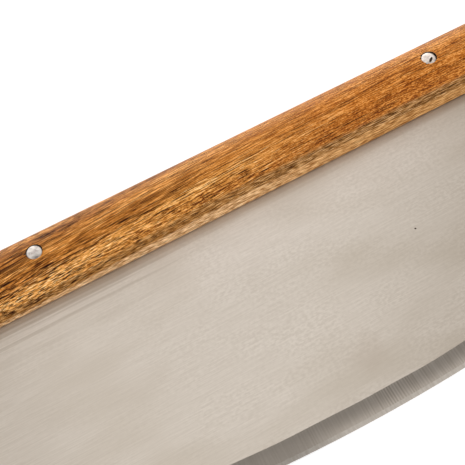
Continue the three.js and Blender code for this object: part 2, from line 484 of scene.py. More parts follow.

# %% [markdown]
# ## Dirt and painted shade
# A dark, dull and crumbly finish goes on faces that the cuts make. In the chipped lips, the rivet's nick
# and the blade's pit it is dirt, a little flour and burnt oil that a cloth can't reach. On the walls of
# the rivet recesses it is painted shade, a dark gap round each head. It could be painted over the other
# finishes with a mask, but the cuts above already know their own faces, so it is a finish of its own.

# %% Packed dirt and painted shade
SHADE_AND_DIRT_DARK = linear(48, 36, 28)
SHADE_AND_DIRT_LIGHT = linear(80, 64, 52)
CRUMB_WAVES = (3000, 3000, 3000)


def dirt_and_painted_shade():
    material, tree, shader = new_material("dirt_and_painted_shade")
    crumbs = noise(tree, own_axes(tree), CRUMB_WAVES)
    colour = blend_colours(tree, between(tree, crumbs, 0.35, 0.65), SHADE_AND_DIRT_DARK, SHADE_AND_DIRT_LIGHT)
    fill(shader, {"Base Color": colour, "Roughness": 0.9, "Specular IOR Level": 0.1})
    return material


dirt_and_shade = dirt_and_painted_shade()
print("made", dirt_and_shade.name)

# %% [markdown]
# ## Wood
# The bar is an oiled hardwood. Its heart is golden on the left and redder on the right, with fine dark
# vessels, and a pale strip of sapwood lies along the blade. A picture of wood wrapped round the bar would
# show its seams at the ends. So the pattern is solid instead: each layer is noise in three dimensions,
# looked up at a place in the wood and stretched along the grain.

# %% Helpers for solid patterns
SLIVER_CORE = 0.75


def split(tree, vector):
    return tuple(add(tree, "SeparateXYZ", _0=vector).node.outputs)


def centred(tree, value, size):
    """Turns a value from 0 to 1 into one from minus half the size to plus half the size."""
    return times(tree, maths(tree, "SUBTRACT", value, 0.5), size)


def slivers(tree, place, waves, radius):
    """Slim ellipsoids scattered through space: 1 in the middle of each, and 0 beyond its radius."""
    away = add(tree, "TexVoronoi", Vector=scaled(tree, place, waves), Scale=1.0)
    return between(tree, away, times(tree, radius, SLIVER_CORE), radius, 1.0, 0.0)


print("pattern helpers ready")

# %% [markdown]
# ### Grain
# Grain is never quite straight. Here it climbs a little from left to right and wavers, which is done by
# bending the coordinates before any noise is looked up. Fibres, small specks and slow bands of tone are
# then added up into one number, the lightness, so that they darken and lighten the wood together, as
# they do on a real plank. A pair of values is mostly for the two ends of a zone, such as left and right.

# %% Bend the grain
GRAIN_CLIMB = 0.045
GRAIN_EASE = 0.33
GRAIN_WAVER = 1.5 * MM
WAVER_WAVES = (9, 45, 45)


def grain_axes(tree, place):
    """The cutter's own axes, bent so that the grain climbs to the right and wavers a little."""
    x, y, z = split(tree, place)
    steepness = maths(tree, "SUBTRACT", GRAIN_CLIMB, times(tree, x, GRAIN_EASE))
    climb = times(tree, x, steepness)
    waver = centred(tree, noise(tree, place, WAVER_WAVES, detail=0), GRAIN_WAVER)
    grain_y = added(tree, maths(tree, "SUBTRACT", y, climb), waver)
    return add(tree, "CombineXYZ", X=x, Y=grain_y, Z=z)


print(f"the grain climbs {1000 * GRAIN_CLIMB:.0f} mm in a metre at the middle of the bar")

# %% Fibres, specks and bands of tone
RIGHT_X = (0, 60 * MM)
FIBRE_WAVES = (180, 3800, 3800)
FIBRE_CONTRAST = (2.2, 2.7)
TONE_WAVES = (10, 260, 260)
TONE_X = (-20 * MM, 60 * MM)
TONE_CONTRAST = (1.8, 0.8)
SPECK_WAVES = (1000, 3200, 3200)
SPECK_CONTRAST = (1.4, 3.3)
SPECK_Y = (-8 * MM, -1 * MM)
SPECK_SHARE = (1.0, 0.65)


def lightness(tree, place, grain, fibre):
    """How light the wood is, from about 0 to 1."""
    x, y = split(tree, place)[:2]
    tone = noise(tree, grain, TONE_WAVES)
    speck = noise(tree, place, SPECK_WAVES, detail=1, roughness=0.6)
    speck_contrast = between(tree, x, *RIGHT_X, *SPECK_CONTRAST)
    speck_share = between(tree, y, *SPECK_Y, *SPECK_SHARE)
    fibres = centred(tree, fibre, between(tree, x, *RIGHT_X, *FIBRE_CONTRAST))
    tones = centred(tree, tone, between(tree, x, *TONE_X, *TONE_CONTRAST))
    specks = centred(tree, speck, times(tree, speck_contrast, speck_share))
    return added(tree, fibres, tones, specks, 0.5)


print("fibres, specks and bands of tone ready")

# %% Wood colours, from the darkest fibres to the lightest
LIGHT_STOPS = (0.0, 0.15, 0.5, 0.85, 1.0)
GOLDEN = ((114, 57, 8), (174, 108, 37), (221, 154, 75), (250, 190, 117), (255, 217, 155))
UMBER = ((90, 42, 6), (138, 77, 20), (182, 113, 42), (215, 144, 68), (242, 174, 98))
REDDISH = ((118, 55, 6), (154, 82, 18), (185, 108, 34), (209, 132, 56), (231, 157, 82))
DUSKY = ((94, 51, 10), (124, 77, 26), (151, 101, 47), (177, 128, 71), (201, 153, 96))
GREYISH = ((74, 44, 13), (110, 72, 30), (147, 104, 55), (182, 138, 88), (214, 170, 118))
PALE = ((146, 100, 53), (177, 131, 82), (207, 163, 115), (232, 190, 141), (250, 212, 166))


def shades(tree, light, colours):
    """A ramp through five colours, from dark to light. A new ramp already has its end stops."""
    made = tree.nodes.new("ShaderNodeValToRGB")
    marks = made.color_ramp.elements
    for stop in LIGHT_STOPS[1:-1]:
        marks.new(stop)
    for mark, colour in zip(marks, colours):
        mark.color = linear(*colour)
    fill(made, {0: light})
    return made.outputs[0]


print("shades in each wood colour:", len(LIGHT_STOPS))

# %% [markdown]
# ### Heartwood
# The heart changes along the bar: golden low on the left, umber above that, and reddish on the right.
# On the right, painted shade darkens the lower flank next to the sapwood, and painted light makes the
# upper part towards the back paler. Each zone has its own ramp of five colours, and soft masks blend the
# zones. One picture of the whole bar could do this too, but masks can be moved one at a time.

# %% Heartwood
UMBER_LINE = -2.2 * MM
UMBER_BLUR = 1.4 * MM
SHADED_LOW_TINT = (0.84, 0.81, 0.68, 1)
LIT_TOP_TINT = (1.2, 1.36, 1.65, 1)
SHADED_LOW_X = (0, 38 * MM)
SHADED_LOW_Y = (-8 * MM, -3 * MM)
LIT_TOP_Y = (-1 * MM, 4.5 * MM)
MOTTLE = linear(140, 76, 20)
MOTTLE_WAVES = (260, 520, 520)
MOTTLE_X = (-20 * MM, 40 * MM)
MOTTLE_SHARE = (0.05, 0.2)


def heartwood(tree, place, grain, light, rightness):
    x, y = split(tree, place)[:2]
    grain_y = split(tree, grain)[1]
    upper = between(tree, grain_y, UMBER_LINE - UMBER_BLUR, UMBER_LINE + UMBER_BLUR)
    left = blend_colours(tree, upper, shades(tree, light, GOLDEN), shades(tree, light, UMBER))
    heart = blend_colours(tree, rightness, left, shades(tree, light, REDDISH))
    # Painted shade darkens the lower flank on the right, and painted light makes the upper back paler.
    shaded_low = times(tree, between(tree, x, *SHADED_LOW_X), between(tree, y, *SHADED_LOW_Y, 1.0, 0.0))
    heart = tinted(tree, shaded_low, heart, SHADED_LOW_TINT)
    pale = times(tree, rightness, between(tree, y, *LIT_TOP_Y))
    heart = tinted(tree, pale, heart, LIT_TOP_TINT)
    mottle = between(tree, noise(tree, place, MOTTLE_WAVES), 0.5, 0.7)
    mottle_share = times(tree, mottle, between(tree, x, *MOTTLE_X, *MOTTLE_SHARE))
    return blend_colours(tree, mottle_share, heart, MOTTLE)


print("heartwood ready")

# %% [markdown]
# ### Sapwood
# A tree's outer rings are its sapwood, paler than the heart. On this bar they lie along the blade, below
# a ragged line, and a dusky band runs above that line, browner on the left and greyer on the right. The
# line is a height in the wood that rises from left to right, with noise to roughen it, and how far a
# place is above it says which colour that place gets. Both are streaked along the grain.

# %% Sapwood and the dusky band
SAP_LINE_X = (-95 * MM, 10 * MM)
SAP_LINE = (-12.15 * MM, -11.2 * MM)
RAGGED_WAVES = (25, 300, 300)
RAGGED_X = (-60 * MM, 0)
RAGGED = (0.4 * MM, 0.9 * MM)
STREAKY_WAVES = (330, 3400, 3400)
SAP_CONTRAST = 3.6
BAND_CONTRAST = 4.2
GREYER_X = (-40 * MM, 30 * MM)
TANNED = (0.82, 0.69, 0.48, 1)


def height_over_sap(tree, x, y, grain):
    """How far a place is above the ragged line where the sapwood ends."""
    roughness = between(tree, x, *RAGGED_X, *RAGGED)
    ragged = centred(tree, noise(tree, grain, RAGGED_WAVES, detail=3), roughness)
    sap_line = between(tree, x, *SAP_LINE_X, *SAP_LINE)
    return added(tree, maths(tree, "SUBTRACT", y, sap_line), ragged)


def streaky(tree, grain, contrast):
    """Lightness again, from about 0 to 1, in short streaks along the grain."""
    streak = noise(tree, grain, STREAKY_WAVES)
    return added(tree, centred(tree, streak, contrast), 0.5)


def dusky_band(tree, x, grain):
    light = streaky(tree, grain, BAND_CONTRAST)
    greyness = between(tree, x, *GREYER_X)
    return blend_colours(tree, greyness, shades(tree, light, DUSKY), shades(tree, light, GREYISH))


def sapwood(tree, grain, rightness):
    light = streaky(tree, grain, SAP_CONTRAST)
    return tinted(tree, rightness, shades(tree, light, PALE), TANNED)


print(f"the sapwood's line rises {(SAP_LINE[1] - SAP_LINE[0]) / MM:.1f} mm")

# %% [markdown]
# ### Vessels
# The dark lines are vessels, the tubes that carried water up the tree, cut open along their length. Noise
# cut off at one level gives closed loops, like the lines on a map. A cell texture stretched into slim
# slivers looks right, because each sliver starts and ends by itself. Slow noise crowds them together in
# some places and thins them out in others. They are coarser on the left, where a few long ones run
# between the rest.

# %% Vessels
VESSEL = linear(42, 15, 2)
VESSEL_X = (-80 * MM, 20 * MM)
VESSEL_SIZE = (1.1, 0.74)
VESSEL_RADIUS = (0.31, 0.41)
RARE_RADIUS = (0.2, 0.1)
CROWD_WAVES = (12, 300, 300)
LONG_WAVES = (18, 3300, 3300)
SHORT_WAVES = (60, 3700, 3700)
RARE_WAVES = (16, 1300, 1300)


def vessel_lines(tree, x, grain):
    size = between(tree, x, *VESSEL_X, *VESSEL_SIZE)
    crowd = noise(tree, grain, CROWD_WAVES)
    radius = times(tree, between(tree, crowd, 0.3, 0.65, *VESSEL_RADIUS), size)
    lines = slivers(tree, grain, RARE_WAVES, between(tree, x, *VESSEL_X, *RARE_RADIUS))
    for waves in (LONG_WAVES, SHORT_WAVES):
        lines = maths(tree, "MAXIMUM", lines, slivers(tree, grain, waves, radius))
    return lines


print("vessels ready")

# %% [markdown]
# ### The finished wood
# Now the layers go over each other: heart, band, sapwood and vessels. Oiled wood has hardly any shine,
# only a pale rim where the bar turns away from the eye, and a low specular level gives just that. The
# vessels are fine grooves, so they also go into the bump, and are duller inside.

# %% Oil and seat the handle
REDDER_X = (-32 * MM, 50 * MM)
BAND_X = (-85 * MM, -20 * MM)
BAND_REACH = (1.1 * MM, 1.75 * MM)
BAND_FADE = (0.7, 1.3)
BAND_SHARE = 0.9
SAP_BLUR = 0.15 * MM
VESSEL_FADE = (-0.3 * MM, 0.6 * MM)
VESSEL_SHARE = (0.5, 1.0)
WOOD_DULLNESS = (0.42, 0.55)
GROOVE_DULLNESS = 0.25
GROOVE_DEPTH = 0.05 * MM
FIBRE_HEIGHT = 0.3


def oiled_hardwood():
    material, tree, shader = new_material("oiled_hardwood")
    place = own_axes(tree)
    x, y = split(tree, place)[:2]
    grain = grain_axes(tree, place)
    rightness = between(tree, x, *REDDER_X)
    fibre = noise(tree, grain, FIBRE_WAVES, detail=1, roughness=0.6)
    light = lightness(tree, place, grain, fibre)
    over_sap = height_over_sap(tree, x, y, grain)

    wood = heartwood(tree, place, grain, light, rightness)
    over_band = maths(tree, "DIVIDE", over_sap, between(tree, x, *BAND_X, *BAND_REACH))
    band_share = between(tree, over_band, *BAND_FADE, BAND_SHARE, 0.0)
    wood = blend_colours(tree, band_share, wood, dusky_band(tree, x, grain))
    sap_share = between(tree, over_sap, -SAP_BLUR, SAP_BLUR, 1.0, 0.0)
    wood = blend_colours(tree, sap_share, wood, sapwood(tree, grain, rightness))
    vessels = vessel_lines(tree, x, grain)
    vessel_share = times(tree, vessels, between(tree, over_sap, *VESSEL_FADE, *VESSEL_SHARE))
    wood = blend_colours(tree, vessel_share, wood, VESSEL)

    dullness = between(tree, fibre, 0.3, 0.7, *WOOD_DULLNESS)
    dullness = added(tree, dullness, times(tree, vessels, GROOVE_DULLNESS))
    fill(shader, {"Base Color": wood, "Roughness": dullness, "Specular IOR Level": 0.1})
    surface = maths(tree, "SUBTRACT", times(tree, fibre, FIBRE_HEIGHT), vessels)
    raise_bumps(tree, shader, surface, GROOVE_DEPTH, strength=0.4)
    return material


seat(handle, "handle", [oiled_hardwood(), dirt_and_shade])

# %% [markdown]
# ## The blade
# The real blade is stamped from sheet, then its edge is ground on a wheel and honed. So it is built from
# its outline, with rings of points that step in from it: the edge, the line of the honing, the hollow
# left by the wheel, and the flat face. Away from the edge the same rings close up into a narrow deburred
# rim. A bevel modifier couldn't change its width along the outline like this.

# %% The blade's sizes
EDGE_RADIUS = 560 * MM
CORNER_RADIUS = 30 * MM
TANG_CORNER_RADIUS = 3 * MM
BEVEL_WIDTH = 6.8 * MM
HONE_WIDTH = 1.3 * MM
HONE_THICKNESS = 0.7 * MM
EDGE_THICKNESS = 0.1 * MM
DEBURR = 0.2 * MM
HOLLOW_DEPTH = 0.1 * MM
HOLLOW_STEPS = 8

half_thickness = BLADE_THICKNESS / 2
edge_land = EDGE_THICKNESS / 2 * math.tan(lie_angle)
blade_depth = (bar_axis.y - blade_low.y) / math.cos(lie_angle) - edge_land
tang_top = slot_top - SLOT_CLEARANCE
blade_end = blade_length / 2
print(f"blade {blade_length / MM:.1f} mm long, edge {blade_depth / MM:.2f} mm from the bar's axis")

# %% The blade's outline
EDGE_STEPS = 240
CORNER_STEPS = 36
TANG_CORNER_STEPS = 8


def smooth(share):
    return share * share * (3 - 2 * share)


def blade_outline():
    """Points round the blade, anticlockwise: (x, y, inward x, inward y, sharpness)."""
    corner_x = blade_end - CORNER_RADIUS
    drop = math.sqrt((EDGE_RADIUS - CORNER_RADIUS) ** 2 - corner_x ** 2)
    centre_y = EDGE_RADIUS - blade_depth
    half_angle = math.degrees(math.atan2(corner_x, drop))
    tang_x, tang_y = blade_end - TANG_CORNER_RADIUS, tang_top - TANG_CORNER_RADIUS
    left, right = -90 - half_angle, -90 + half_angle
    stretches = [
        (-corner_x, centre_y - drop, CORNER_RADIUS, -180, left, CORNER_STEPS, smooth),
        (0, centre_y, EDGE_RADIUS, left, right, EDGE_STEPS, lambda s: 1.0),
        (corner_x, centre_y - drop, CORNER_RADIUS, right, 0, CORNER_STEPS, lambda s: smooth(1 - s)),
        (tang_x, tang_y, TANG_CORNER_RADIUS, 0, 90, TANG_CORNER_STEPS, lambda s: 0.0),
        (-tang_x, tang_y, TANG_CORNER_RADIUS, 90, 180, TANG_CORNER_STEPS, lambda s: 0.0),
    ]
    points = []
    for x, y, radius, start, stop, steps, sharpness in stretches:
        for i, (px, py) in enumerate(arc(x, y, radius, start, stop, steps)):
            if points and math.dist(points[-1][:2], (px, py)) < TINY:
                continue
            points.append((px, py, (x - px) / radius, (y - py) / radius, sharpness(i / steps)))
    return points


outline = blade_outline()
print("outline points:", len(outline))

# %% The steps from face to edge
SWAY = 0.018
SWAY_LENGTH = 11 * MM
TREMBLE = 0.008
TREMBLE_LENGTH = 4.1 * MM


def rim_steps():
    """Pairs of (inset, height) from the flat face to the outline, first blunt, then sharpened."""
    steps = []
    for i in range(HOLLOW_STEPS + 1):
        share = i / HOLLOW_STEPS
        sag = HOLLOW_DEPTH * 4 * share * (1 - share)
        inset = BEVEL_WIDTH + (HONE_WIDTH - BEVEL_WIDTH) * share
        height = half_thickness + (HONE_THICKNESS / 2 - half_thickness) * share - sag
        blunt_inset = DEBURR * (1 - share / 2)
        steps.append(((blunt_inset, half_thickness - DEBURR + blunt_inset), (inset, height)))
    steps.append(((0, half_thickness - DEBURR), (0, EDGE_THICKNESS / 2)))
    return steps


def grinding_wander(x):
    """How much wider the ground strip is here, as a share of its width. A hand held it to the wheel."""
    return TREMBLE * math.sin(x / TREMBLE_LENGTH + 1) - SWAY * math.sin(x / SWAY_LENGTH)


print("steps from face to edge:", len(rim_steps()))

# %% Rings of points, from one face round the edge to the other
def blade_rings(builder):
    rings, insets = [], []
    steps = rim_steps()
    for side, order in ((1, steps), (-1, steps[::-1])):
        for blunt, keen in order:
            ring, ring_insets = [], []
            for x, y, in_x, in_y, sharp in outline:
                keen_inset = keen[0] * (1 + grinding_wander(x))
                inset = blunt[0] + (keen_inset - blunt[0]) * sharp
                height = blunt[1] + (keen[1] - blunt[1]) * sharp
                place = (x + in_x * inset, y + in_y * inset, side * height)
                ring.append(builder.verts.new(place))
                ring_insets.append(inset)
            rings.append(ring)
            insets.append(ring_insets)
    return rings, insets


print("rings on both sides:", 2 * len(rim_steps()))

# %% Ground and honed strips between the rings
FACE, GROUND, HONED, PITTED = range(4)


def blade_strips(builder, uv, rings, insets):
    """Joins the rings with faces, and maps them as (length along the outline, inset)."""
    lengths = [0.0]
    for here, there in zip(outline, outline[1:] + outline[:1]):
        lengths.append(lengths[-1] + math.dist(here[:2], there[:2]))
    count = len(outline)
    bands = len(rings) - 1
    for band in range(bands):
        honed = min(band, bands - 1 - band) >= HOLLOW_STEPS
        for i in range(count):
            j = (i + 1) % count
            corners = (rings[band][i], rings[band + 1][i], rings[band + 1][j], rings[band][j])
            face = builder.faces.new(corners)
            face.material_index = HONED if honed else GROUND
            places = ((i, band, i), (i, band + 1, i), (i + 1, band + 1, j), (i + 1, band, j))
            for loop, (along, row, column) in zip(face.loops, places):
                loop[uv].uv = (lengths[along], insets[row][column])


print("finishes on the blade:", len((FACE, GROUND, HONED, PITTED)))

# %% Rivet holes and flat faces
def blade_holes(builder):
    """The walls of the rivet holes. Each hole gives its ring on the upper and on the lower face."""
    holes = []
    for place in rivet_places.values():
        round_hole = arc(place.x, place.y, hole_radius, 0, 360, HOLE_SEGMENTS)[:-1]
        upper = [builder.verts.new((x, y, half_thickness)) for x, y in round_hole]
        lower = [builder.verts.new((x, y, -half_thickness)) for x, y in round_hole]
        for i in range(HOLE_SEGMENTS):
            j = (i + 1) % HOLE_SEGMENTS
            builder.faces.new((upper[i], upper[j], lower[j], lower[i])).material_index = FACE
        holes.append((upper, lower))
    return holes


def ring_edges(builder, ring):
    pairs = zip(ring, ring[1:] + ring[:1])
    return [builder.edges.get(pair) or builder.edges.new(pair) for pair in pairs]


def blade_faces(builder, uv, rings, holes):
    """Fills both flat faces round their rivet holes."""
    for side, ring in ((0, rings[0]), (1, rings[-1])):
        edges = ring_edges(builder, ring)
        for hole in holes:
            edges += ring_edges(builder, hole[side])
        filled = bmesh.ops.triangle_fill(builder, use_beauty=True, edges=edges)
        for face in filled["geom"]:
            if isinstance(face, bmesh.types.BMFace):
                face.material_index = FACE
                for loop in face.loops:
                    loop[uv].uv = loop.vert.co.xy


print("holes through the blade:", len(rivet_places))

# %% Build the blade, with a pit in its face
PIT_PLACE = Vector((37.3, -49.2, 1.0)) * MM
PIT_SIZE = (0.34 * MM, 0.3 * MM, 0.2 * MM)


def build_blade():
    builder = bmesh.new()
    uv = builder.loops.layers.uv.new("brushing")
    rings, insets = blade_rings(builder)
    blade_strips(builder, uv, rings, insets)
    blade_faces(builder, uv, rings, blade_holes(builder))
    return finished_mesh(builder, "steel_blade")


blade = build_blade()
nick(blade, PIT_PLACE, PIT_SIZE, 0, PITTED)
print("blade faces:", len(blade.data.polygons))

# %% [markdown]
# ## Steel
# The sheet is brushed along its length, so its tiny scratches spread a highlight across them and keep it
# narrow along them. The shader's anisotropy does this once it knows which way the scratches run, and that
# is what the map called brushing is for. A brushed picture could fake it from one side only, but this
# highlight moves as the real one does.

# %% What all the steel shares
def steel_basics(name, roughness, anisotropy, turn):
    material, tree, shader = new_material(name)
    fill(shader, {
        "Metallic": 1.0,
        "Roughness": roughness,
        "Anisotropic": anisotropy,
        "Anisotropic Rotation": turn,
        "Tangent": add(tree, "Tangent", {"direction_type": "UV_MAP", "uv_map": "brushing"}),
    })
    return material, tree, shader


print("steel basics ready")

# %% [markdown]
# ### The face
# A used face isn't clean. Small flecks break up the brushing, and darker streaks run along the bar, most
# of all on the left. Right under the wood a ragged band of painted shade stands for the bar's shadow and
# reflection in the steel, and a strip further down is lightened with painted light against the bar's own
# shadow. One smear was left near the edge, and painted shade darkens the steel towards its ends. Each is
# a soft mask over the brushed colour. They only tint the metal, and leave its shine as it is.

# %% Streaks along the bar, with painted shade and painted light
STREAK = linear(158, 142, 122)
STREAK_WAVES = (7, 420, 0)
STREAK_X = (-60 * MM, -15 * MM)
STREAK_SHARE = (0.34, 0.04)
STREAK_Y = (-31 * MM, -17 * MM)
PAINTED_LIGHT_STRIP = (1.06, 1.06, 1.07, 1)
PAINTED_LIGHT_STRIP_X = (-60 * MM, -30 * MM)
PAINTED_LIGHT_STRIP_Y = (-42 * MM, -24 * MM)
BAR_SHADE = linear(150, 130, 108)
BAR_SHADE_RAGGED = 3 * MM
BAR_SHADE_Y = (-16.5 * MM, -14 * MM)
BAR_SHADE_SHARE = (0.0, 0.37)


def streaks_and_painted_light_by_bar(tree, x, y, place, colour):
    streak = noise(tree, place, STREAK_WAVES, roughness=0.6)
    most = times(tree, between(tree, y, *STREAK_Y), between(tree, x, *STREAK_X, *STREAK_SHARE))
    streak_share = times(tree, between(tree, streak, 0.5, 0.64), most)
    colour = blend_colours(tree, streak_share, colour, STREAK)
    # Painted light: a lighter strip further from the bar, against the bar's own shadow there.
    painted_light_strip = times(tree, between(tree, y, *PAINTED_LIGHT_STRIP_Y), between(tree, x, *PAINTED_LIGHT_STRIP_X))
    colour = tinted(tree, painted_light_strip, colour, PAINTED_LIGHT_STRIP)
    # Painted shade: a ragged darker band right under the bar, for its shadow and reflection in the steel.
    bar_shade_y = added(tree, y, centred(tree, streak, BAR_SHADE_RAGGED))
    bar_shade_share = between(tree, bar_shade_y, *BAR_SHADE_Y, *BAR_SHADE_SHARE)
    return blend_colours(tree, bar_shade_share, colour, BAR_SHADE)


print("streaks and painted_shade ready")

# %% A smear, and painted shade towards the ends
SMEAR = linear(186, 170, 154)
SMEAR_PLACE = Vector((1.0, -79.5, 1.0)) * MM
SMEAR_WAVES = (120, 160, 0)
SMEAR_RAGGED = 9 * MM
SMEAR_REACH = (2 * MM, 9 * MM)
SMEAR_SHARE = (0.26, 0.0)
END_SHADE_TINT = (0.80, 0.785, 0.765, 1)
END_SHADE_SLANT = 0.75
END_SHADE_RIGHT = (32 * MM, 115 * MM)
END_SHADE_LEFT = (-110 * MM, -75 * MM)
END_SHADE_LEFT_SHARE = (0.6, 0.0)


def smeared(tree, place, colour):
    ragged = centred(tree, noise(tree, place, SMEAR_WAVES), SMEAR_RAGGED)
    away = add(tree, "VectorMath", {"operation": "DISTANCE"}, _0=place, _1=SMEAR_PLACE)
    from_smear = added(tree, away.node.outputs["Value"], ragged)
    smear_share = between(tree, from_smear, *SMEAR_REACH, *SMEAR_SHARE)
    return blend_colours(tree, smear_share, colour, SMEAR)


def shaded_ends(tree, x, y, colour):
    # Painted shade: the steel darkens towards its right end and edge, and towards its left end.
    towards_corner = maths(tree, "SUBTRACT", x, times(tree, y, END_SHADE_SLANT))
    end_shade = tinted(tree, 1.0, colour, END_SHADE_TINT)
    colour = blend_colours(tree, between(tree, towards_corner, *END_SHADE_RIGHT), colour, end_shade)
    return blend_colours(tree, between(tree, x, *END_SHADE_LEFT, *END_SHADE_LEFT_SHARE), colour, end_shade)


print("smear and film ready")

# %% Brushed face
BRUSHED_DARK = linear(208, 197, 184)
BRUSHED_LIGHT = linear(220, 210, 198)
BRUSH_WAVES = (90, 2500, 0)
FLECK_WAVES = (760, 1100, 0)
FLECK_X = (-70 * MM, -20 * MM)
FLECK_CONTRAST = (0.7, 2.0)
PATCH_WAVES = (45, 90, 0)
PATCHINESS = (0.5, 1.5)
SMUDGE = linear(196, 184, 168)
SMUDGE_WAVES = (16, 40, 0)
SMUDGE_SHARE = (0.0, 0.6)
SCRATCH_DEPTH = 0.02 * MM


def face_steel():
    material, tree, shader = steel_basics("face_steel", roughness=0.42, anisotropy=0.75, turn=0.25)
    place = own_axes(tree)
    x, y = split(tree, place)[:2]
    brush = noise(tree, place, BRUSH_WAVES, roughness=0.6)
    fleck = noise(tree, place, FLECK_WAVES, detail=1)
    patch = noise(tree, place, PATCH_WAVES, detail=1)
    patchiness = between(tree, patch, 0.35, 0.65, *PATCHINESS)
    fleck_contrast = times(tree, between(tree, x, *FLECK_X, *FLECK_CONTRAST), patchiness)
    flecks = centred(tree, fleck, fleck_contrast)
    brush_share = added(tree, between(tree, brush, 0.2, 0.8), flecks)
    colour = blend_colours(tree, brush_share, BRUSHED_DARK, BRUSHED_LIGHT)
    smudge = noise(tree, place, SMUDGE_WAVES)
    colour = blend_colours(tree, between(tree, smudge, 0.4, 0.7, *SMUDGE_SHARE), colour, SMUDGE)
    colour = streaks_and_painted_light_by_bar(tree, x, y, place, colour)
    colour = smeared(tree, place, colour)
    fill(shader, {"Base Color": shaded_ends(tree, x, y, colour)})
    raise_bumps(tree, shader, brush, SCRATCH_DEPTH, strength=0.2)
    return material


print("brushed face ready")

# %% [markdown]
# ### The ground and honed edge
# The grinding wheel scratches the other way, from the shoulder to the edge, and where the blade trembled
# against it there are regular chatter marks. A sine wave along the edge makes those, slowly pushed out
# of step by noise and kept to patches, mostly right of the middle. The honed strip is finer and paler,
# so it reads as a bright line. Towards the edge both strips are darker, most of all on the left.

# %% Ground edge
GROUND_DARK = linear(184, 172, 158)
GROUND_LIGHT = linear(214, 203, 191)
GROUND_WAVES = (1500, 60, 0)
HARSH_X = (-14 * MM, -3 * MM)
HARSHNESS = (0.5, 1.0)
CHATTER_PITCH = 0.9 * MM
CHATTER_DRIFT = 9.0
DRIFT_WAVES = (120, 20, 0)
CHATTER_PATCHES = (45, 0, 0)
CHATTER_SHARE = (0.05, 0.38)
NEAR_EDGE_TINT = (0.6, 0.6, 0.6, 1)
NEAR_EDGE_INSET = (HONE_WIDTH, 5 * MM)
NEAR_EDGE_X = (-36 * MM, -14 * MM)
NEAR_EDGE_SHARE = (1.0, 0.25)


def darker_near_edge(tree, place, colour):
    """Takes some brightness off towards the edge, most of all on the left."""
    x = split(tree, own_axes(tree))[0]
    inset = split(tree, place)[1]
    near_edge = between(tree, inset, *NEAR_EDGE_INSET, 1.0, 0.0)
    leftness = between(tree, x, *NEAR_EDGE_X, *NEAR_EDGE_SHARE)
    return tinted(tree, times(tree, near_edge, leftness), colour, NEAR_EDGE_TINT)


def chatter_marks(tree, place):
    along = split(tree, place)[0]
    drift = times(tree, noise(tree, place, DRIFT_WAVES, detail=1), CHATTER_DRIFT)
    beat = added(tree, times(tree, along, 2 * math.pi / CHATTER_PITCH), drift)
    patch = noise(tree, place, CHATTER_PATCHES, detail=1)
    return times(tree, maths(tree, "SINE", beat), between(tree, patch, 0.45, 0.65, *CHATTER_SHARE))


def ground_steel():
    material, tree, shader = steel_basics("ground_steel", roughness=0.28, anisotropy=0.8, turn=0.0)
    place = add(tree, "UVMap", {"uv_map": "brushing"})
    scratch = noise(tree, place, GROUND_WAVES, roughness=0.6)
    x = split(tree, own_axes(tree))[0]
    harshness = between(tree, x, *HARSH_X, *HARSHNESS)
    marks = added(tree, between(tree, scratch, 0.1, 0.9, -0.5, 0.5), chatter_marks(tree, place))
    share = added(tree, times(tree, marks, harshness), 0.5)
    colour = blend_colours(tree, share, GROUND_DARK, GROUND_LIGHT)
    fill(shader, {"Base Color": darker_near_edge(tree, place, colour)})
    raise_bumps(tree, shader, scratch, SCRATCH_DEPTH, strength=0.2)
    return material


print(f"chatter marks every {CHATTER_PITCH / MM:.1f} mm")

# %% Honed edge, and seat the blade
HONED_DARK = linear(208, 198, 186)
HONED_LIGHT = linear(222, 213, 202)
HONED_WAVES = (900, 150, 0)


def honed_steel():
    material, tree, shader = steel_basics("honed_steel", roughness=0.45, anisotropy=0.5, turn=0.0)
    place = add(tree, "UVMap", {"uv_map": "brushing"})
    scratch = noise(tree, place, HONED_WAVES, detail=1, roughness=0.6)
    colour = blend_colours(tree, between(tree, scratch, 0.3, 0.7), HONED_DARK, HONED_LIGHT)
    fill(shader, {"Base Color": darker_near_edge(tree, place, colour)})
    return material


seat(blade, "blade", [face_steel(), ground_steel(), honed_steel(), dirt_and_shade])

# %% [markdown]
# ## The rivets
# Each rivet is one pin of pale metal with a low domed head at both ends, set just below the wood. It is
# turned as one outline round its own axis, from dome to dome. The heads are a little uneven from being
# set with a hammer, the left one is a little darker and bluer, and the right one has a nick. A nick cut
# into the mesh keeps its dark inside from every side, where a painted one would look flat.

# %% Outline of a rivet
DOME_STEPS = 14
dome_radius = (HEAD_RADIUS ** 2 + DOME_HEIGHT ** 2) / (2 * DOME_HEIGHT)
dome_half_angle = math.degrees(math.asin(HEAD_RADIUS / dome_radius))


def rivet(name):
    dome = arc(dome_top - dome_radius, 0, dome_radius, dome_half_angle, 0, DOME_STEPS)
    dome[-1] = (dome_top, 0)
    side = [(head_seat, SHANK_RADIUS), (head_seat, HEAD_RADIUS), *dome]
    profile = [(-along, radius) for along, radius in reversed(side)] + side
    return turned(name, profile, HOLE_SEGMENTS, "Z")


print(f"each dome has a radius of {dome_radius / MM:.2f} mm")

# %% Pale hammered metal
METAL_WORN = linear(208, 194, 184)
METAL_BRIGHT = linear(250, 236, 223)
LEFT_RIVET_TINT = (0.79, 0.82, 0.85, 1)
WEAR_WAVES = (500, 900, 900)
WEAR_DULLNESS = (0.26, 0.42)
HAMMER_DEPTH = 0.03 * MM


